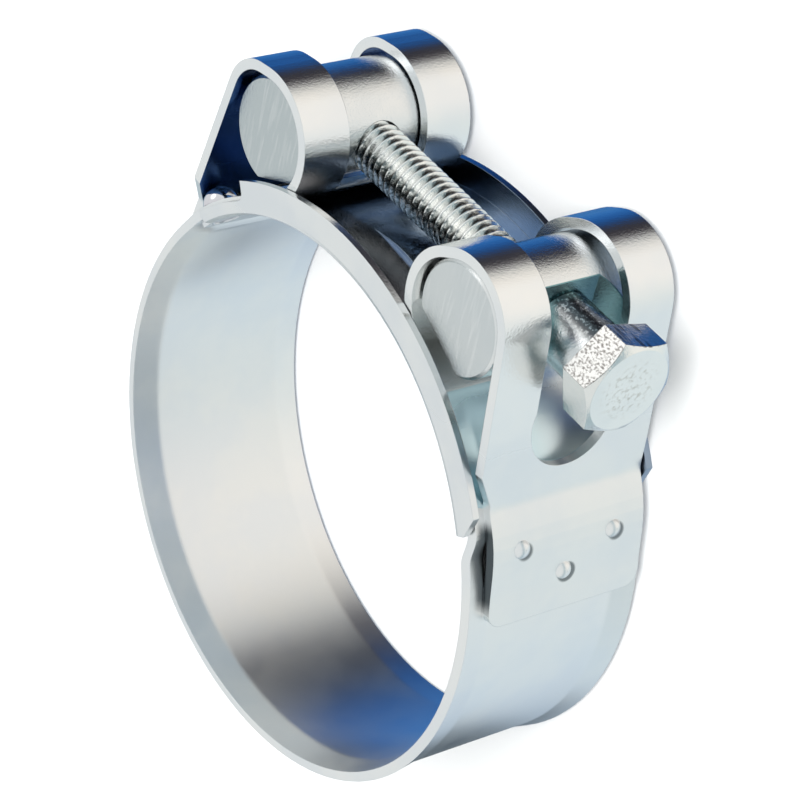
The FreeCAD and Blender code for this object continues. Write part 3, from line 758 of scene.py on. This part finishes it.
turn_round = add(
    tree, "ShaderNodeMath", {"operation": "ARCTAN2"}, _0=strip_parts["Y"], _1=strip_parts["X"]
)
strip_radius = reach_round(tree, strip_place, ring_middle, round_ring)
beside_leaf = add(
    tree, "ShaderNodeMapRange", smooth, Value=strip_parts["Z"],
    From_Min=crevice_from * mm, From_Max=crevice_to * mm, To_Min=crevice_amount, To_Max=0.0,
)
rising = add(
    tree, "ShaderNodeMapRange", smooth, Value=turn_round.outputs[0],
    From_Min=math.radians(crevice_rise[0]), From_Max=math.radians(crevice_rise[1]),
)
falling = add(
    tree, "ShaderNodeMapRange", smooth, Value=turn_round.outputs[0],
    From_Min=math.radians(crevice_fall[0]), From_Max=math.radians(crevice_fall[1]),
    To_Min=1.0, To_Max=0.0,
)
on_ring = within(tree, [
    ("GREATER_THAN", strip_parts["Z"], crevice_start * mm),
    ("GREATER_THAN", strip_radius, crevice_radius * mm),
])
crevice_shadow = overlap(tree, [beside_leaf.outputs[0], rising.outputs[0], falling.outputs[0], on_ring])
# A thin painted shadow in the crevice along the leaf's edge.
tinted(strip_zinc, crevice_shadow, "#22343d")
print("residue from", crevice_from, "mm across the band")

# %% [markdown]
# ## Inside of the plain bar's lug
#
# Below the plain bar the strip's faces look at each other, and there they are tinted pale green-blue.
# The mask takes the outer leaf's inner face and what lies under it, by the height over the bar's axis.
# It leaves out the cut edges by their normal, and grows towards the near side of the clamp.

# %% Green-blue tint inside the plain bar's lug
lug_lean, lug_inside = math.radians(7.7), 7.3
lug_low_y, lug_high_y, lug_from_x = 12.0, 31.0, 18.0
cut_edge_limit = 0.5
lug_fade, lug_far_amount = (-4.0, 4.0), 0.25

lug_out = (math.cos(lug_lean), math.sin(lug_lean), 0.0)
lug_height = reach_along(tree, strip_place, joint_place["head_trunnion_rock"], lug_out)
normal_z = add(tree, "ShaderNodeSeparateXYZ", Vector=face_way).outputs["Z"]
cut_edge = add(tree, "ShaderNodeMath", {"operation": "ABSOLUTE"}, _0=normal_z)
towards_near = add(
    tree, "ShaderNodeMapRange", smooth, Value=strip_parts["Z"],
    From_Min=lug_fade[0] * mm, From_Max=lug_fade[1] * mm, To_Min=lug_far_amount, To_Max=1.0,
)
under_leaf = within(tree, [
    ("LESS_THAN", lug_height, lug_inside * mm),
    ("LESS_THAN", cut_edge.outputs[0], cut_edge_limit),
    ("GREATER_THAN", strip_parts["Y"], lug_low_y * mm),
    ("LESS_THAN", strip_parts["Y"], lug_high_y * mm),
    ("GREATER_THAN", strip_parts["X"], lug_from_x * mm),
    ("GREATER_THAN", strip_radius, crevice_radius * mm),
])
tinted(strip_zinc, overlap(tree, [towards_near.outputs[0], under_leaf]), "#d3ecf3")
print("greenish zinc inside the lug from y", lug_low_y, "to", lug_high_y, "mm")

# %% [markdown]
# ## Painted shade on the sleeve
#
# The sleeve is barrel plated tube. Its side that faces away from the ring, the upper half, is painted
# dark and speckled: painted shade on the top of the tube. It ends before the near side, and noise lets
# bright zinc through it.

# %% Painted shade on the sleeve
shade_rise = (35.8, 37.4)
shade_end = (1.6, 2.5)

tree = sleeve_zinc.node_tree
sleeve_place, sleeve_parts = place_parts(tree)
upper = add(
    tree, "ShaderNodeMapRange", smooth, Value=sleeve_parts["Y"],
    From_Min=shade_rise[0] * mm, From_Max=shade_rise[1] * mm,
)
before_near = add(
    tree, "ShaderNodeMapRange", smooth, Value=sleeve_parts["Z"],
    From_Min=shade_end[0] * mm, From_Max=shade_end[1] * mm, To_Min=1.0, To_Max=0.0,
)
shade_specks = speckled(tree, sleeve_place, spacing=0.35, limits=(0.52, 0.66), amounts=(0.85, 0.25))
# Dark speckled painted shade on the sleeve's upper side.
tinted(sleeve_zinc, overlap(tree, [upper.outputs[0], before_near.outputs[0], shade_specks]), "#3b3e44")
print("painted shade above y", shade_rise[0], "mm")

# %% [markdown]
# ## Bolt with its thread
#
# The solid bolt is plain, because a real thread is too fine for it. The piece made here replaces it:
# a standard M6 bolt with a 1 mm pitch. A screw modifier could wind a thread, but it leaves open ends
# and a seam at the head. So the bolt is one surface worked out from an angle round its axis and a
# station along it, and its mesh is closed from the tip to the middle of the head.

# %% Measures of the bolt
bolt_place = joint_place["bolt_turn"]
bolt_line_y = bolt_place[1] / mm
seat_x = bolt_place[0] / mm
bolt_length = 50.0
tip_x = seat_x - bolt_length
tip_chamfer = 0.8
thread_radius = 2.96
thread_pitch = 1.0
thread_depth = 0.61
crest_share, flank_share, rounding = 0.125, 0.625, 0.4
hex_width = 10.0
hex_height = 4.0
hex_face_radius = 4.7
hex_turn = math.radians(17.3)
around_count = 96
rows_per_pitch = 16

low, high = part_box("hex_bolt")
print("solid bolt from", round(low.x / mm, 2), "to", round(high.x / mm, 2), "mm along X")

# %% [markdown]
# ## Thread
#
# A real thread is rolled: a ridge that climbs by one pitch in each turn, with its crests and roots
# rounded by the dies. It could be modelled as a profile swept along a helix, whose turns then have to
# be joined. As a radius that depends on the station and the angle, it is whole from the start.

# %% Thread
def thread_rows(angles):
    """Return stations x and radii of the threaded shank.

    The radius at a station and an angle depends on t, the share of a pitch past the helix
    x = pitch * angle / (2 pi). It is the crest's radius less the depth times a wave of t, a
    trapezium with rounded corners: flat for an eighth at the crest and a quarter at the root. At the
    tip it is cut by a cone of 45 degrees.
    """
    count = int(round(bolt_length / thread_pitch * rows_per_pitch)) + 1
    x = np.linspace(tip_x, seat_x, count)
    share = np.mod((x[:, None] - thread_pitch * angles / (2.0 * math.pi)) / thread_pitch, 1.0)
    from_crest = 1.0 - np.abs(share - 0.5) * 2.0
    wave = np.clip((from_crest - crest_share) / flank_share, 0.0, 1.0)
    wave = wave * wave * (3.0 - 2.0 * wave) * rounding + wave * (1.0 - rounding)
    radius = thread_radius - thread_depth * wave
    tip_cone = thread_radius - tip_chamfer + (x[:, None] - tip_x)
    return np.repeat(x[:, None], len(angles), axis=1), np.minimum(radius, tip_cone)


column_angles = hex_turn + np.arange(around_count) * 2.0 * math.pi / around_count
shank_x, shank_radius = thread_rows(column_angles)
print("thread of", round(bolt_length / thread_pitch), "turns in", shank_x.shape[0], "rows")

# %% [markdown]
# ## Hexagon head
#
# The head is a hexagon whose corners a cone trims at the end face, which leaves an arc on each flat. A
# cylinder of six sides would miss the arcs. Three more rows of the same surface give them: the seat,
# the cone's foot and the end face.

# %% Hexagon head
def hex_rows(angles):
    """Return stations and radii of the head, from its seat to the edge of its end face.

    The hexagon's radius is half its width over the cosine of the angle from the nearest flat. The
    cone that trims the corners falls 30 degrees from the end face, so its height at a radius is
    the head's height less tan 30 times how far the radius is outside the end face.
    """
    from_flat = np.mod(angles - hex_turn, math.pi / 3.0) - math.pi / 6.0
    hexagon = hex_width / 2.0 / np.cos(from_flat)
    drop = np.clip(hexagon - hex_face_radius, 0.0, None) * math.tan(math.pi / 6.0)
    face = np.minimum(hexagon, hex_face_radius)
    x = np.stack([np.zeros_like(hexagon), hex_height - drop, np.full_like(hexagon, hex_height)])
    return seat_x + x, np.stack([hexagon, hexagon, face])


head_x, head_radius = hex_rows(column_angles)
print("head", round(float(head_radius.max()) * 2.0, 2), "mm over its corners")

# %% [markdown]
# ## Bolt mesh
#
# Shank and head are one forging, so their rows go into one mesh: quads between neighbouring rows, and a
# fan of triangles to a pole at each end. Smooth shading hides the steps of the thread, and edges
# sharper than 25 degrees stay crisp. The piece then replaces the plain solid and rides on its body.

# %% Bolt mesh
sharp_from = math.radians(25.0)


def turned_piece(name, stations, radii, angles, centre_y):
    """Return a closed piece from rows of stations and radii round a line along X.

    A point is (x, centre_y + radius * cos(angle), radius * sin(angle)), in mm. A pole closes each end.
    """
    rows, columns = stations.shape
    ring = np.stack(
        [stations, centre_y + radii * np.cos(angles), radii * np.sin(angles)], axis=-1
    ).reshape(-1, 3)
    poles = np.array([[stations[0, 0], centre_y, 0.0], [stations[-1, 0], centre_y, 0.0]])
    points = np.concatenate([ring, poles]) * mm
    column, following = np.arange(columns), np.roll(np.arange(columns), -1)
    first = (np.arange(rows - 1)[:, None] * columns + column).ravel()
    beside = (np.arange(rows - 1)[:, None] * columns + following).ravel()
    quads = np.stack([first, first + columns, beside + columns, beside], axis=-1)
    start, end, last = rows * columns, rows * columns + 1, (rows - 1) * columns
    start_fan = np.stack([np.full(columns, start), column, following], axis=-1)
    end_fan = np.stack([np.full(columns, end), last + following, last + column], axis=-1)
    return new_mesh(name, points, quads.tolist() + start_fan.tolist() + end_fan.tolist())


bolt = turned_piece(
    "threaded_bolt",
    np.concatenate([shank_x, head_x]),
    np.concatenate([shank_radius, head_radius]),
    column_angles,
    bolt_line_y,
)
bolt.data.polygons.foreach_set("use_smooth", np.ones(len(bolt.data.polygons), dtype=bool))
bolt.data.set_sharp_from_angle(angle=sharp_from)
bolt.data.materials.append(bolt_zinc)
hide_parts("hex_bolt")
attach(bolt, "bolt")
print("bolt of", len(bolt.data.polygons), "faces")

# %% [markdown]
# ## Grooves of the thread
#
# A plated thread is bright on its crests, and its grooves are darkened: oil and thin zinc together with
# painted shade in the creases. The distance from the bolt's axis tells them apart. Along one side the
# grooves are left bright as a painted highlight, where the bolt's highlight runs, so the dark fades
# there, by the height over the axis along that side's way.

# %% Dark grooves
groove_radii, groove_amount = (2.38, 2.74), 0.9
highlight_turn = math.radians(44.0)
highlight_reach, highlight_amount = (2.15, 2.35), 0.12
seat_margin = 0.01

tree = bolt_zinc.node_tree
axis_place, axis_parts = place_parts(tree)
bolt_axis = (0.0, bolt_line_y * mm, 0.0)
from_line = reach_round(tree, axis_place, bolt_axis, (0.0, 1.0, 1.0))
highlight_way = (0.0, math.cos(highlight_turn), math.sin(highlight_turn))
in_groove = add(
    tree, "ShaderNodeMapRange", smooth, Value=from_line,
    From_Min=groove_radii[0] * mm, From_Max=groove_radii[1] * mm, To_Min=groove_amount, To_Max=0.0,
)
off_highlight = add(
    tree, "ShaderNodeMapRange", smooth, Value=reach_along(tree, axis_place, bolt_axis, highlight_way),
    From_Min=highlight_reach[0] * mm, From_Max=highlight_reach[1] * mm, To_Min=1.0, To_Max=highlight_amount,
)
before_seat = within(tree, [("LESS_THAN", axis_parts["X"], (seat_x - seat_margin) * mm)])
groove_oil_and_shade = overlap(tree, [in_groove.outputs[0], before_seat, off_highlight.outputs[0]])
# Grooves darkened by oil and painted shade, faded where the bolt's painted highlight runs.
tinted(bolt_zinc, groove_oil_and_shade, "#2c2a26")
print("grooves dark inside", groove_radii[1], "mm")

# %% [markdown]
# ## Speckle on the head and the shank
#
# The bolt's zinc is coarser than the strip's. Two of the head's facets show it most: one is specked all
# over, the other carries fine dark lines along the bolt. A facet is found by its height over the axis
# along its own way, which the rest of the bolt reaches only at the facet's edges. The end face has a
# faint stain in its middle. The near side of the shank carries dark teal specks, a painted reflection
# that breaks up on the thread's flanks.

# %% Speckle on the head and the shank
facet_turn = hex_turn + math.radians(30.0)
top_turn = hex_turn - math.radians(30.0)
facet_reach = 4.93
end_face_x = seat_x + hex_height - 0.03
end_stain_fade = (1.5, 4.2)
near_fade = (2.1, 2.6)


def on_facet(turn):
    """Return a mask of the bolt's facet that looks along a turn round its axis, from +Y to +Z."""
    facet_out = (0.0, math.cos(turn), math.sin(turn))
    facet_height = reach_along(tree, axis_place, bolt_axis, facet_out)
    return within(tree, [("GREATER_THAN", facet_height, facet_reach * mm)])


specks = speckled(
    tree, axis_place, spacing=0.24, limits=(0.47, 0.66), amounts=(0.34, 0.95), stretch=(0.7, 1.0, 1.0)
)
tinted(bolt_zinc, overlap(tree, [on_facet(facet_turn), specks]), "#6e6a67")
drawn_lines = speckled(
    tree, axis_place, spacing=0.40, limits=(0.50, 0.64), amounts=(0.0, 0.8), stretch=(0.12, 1.0, 1.0)
)
tinted(bolt_zinc, overlap(tree, [on_facet(top_turn), drawn_lines]), "#2a2c33")
on_end_face = within(tree, [("GREATER_THAN", axis_parts["X"], end_face_x * mm)])
near_middle = add(
    tree, "ShaderNodeMapRange", smooth, Value=from_line,
    From_Min=end_stain_fade[0] * mm, From_Max=end_stain_fade[1] * mm, To_Min=1.0, To_Max=0.0,
)
end_specks = speckled(tree, axis_place, spacing=0.55, limits=(0.50, 0.72), amounts=(0.0, 0.45))
tinted(bolt_zinc, overlap(tree, [on_end_face, near_middle.outputs[0], end_specks]), "#a39a86")
near_side = add(
    tree, "ShaderNodeMapRange", smooth, Value=axis_parts["Z"],
    From_Min=near_fade[0] * mm, From_Max=near_fade[1] * mm,
)
near_reflection_specks = speckled(tree, axis_place, spacing=0.45, limits=(0.46, 0.60), amounts=(0.0, 0.85))
# Dark teal specks on the shank's near side: a painted reflection.
tinted(bolt_zinc, overlap(tree, [near_side.outputs[0], before_seat, near_reflection_specks]), "#2f4a50")
print("specked facets at", [round(math.degrees(turn), 1) for turn in (facet_turn, top_turn)], "degrees")

# %% [markdown]
# ## Finishes on the solids
#
# Each solid keeps its mesh and gets its finish in place of the plain colour that it came with. The
# solids could be copied and changed here, but their shape is already the real one, so only their
# material slot is filled anew.

# %% Assign the finishes
finishes = {
    "band": strip_zinc,
    "bridge_plate": bridge_zinc,
    "bridge_rivets": rivet_zinc,
    "threaded_trunnion": bar_zinc,
    "plain_trunnion": bar_zinc,
    "spacer_sleeve": sleeve_zinc,
}
for node_name, finish in finishes.items():
    nodes[node_name].data.materials[0] = finish
print("finished", len(finishes), "solids")
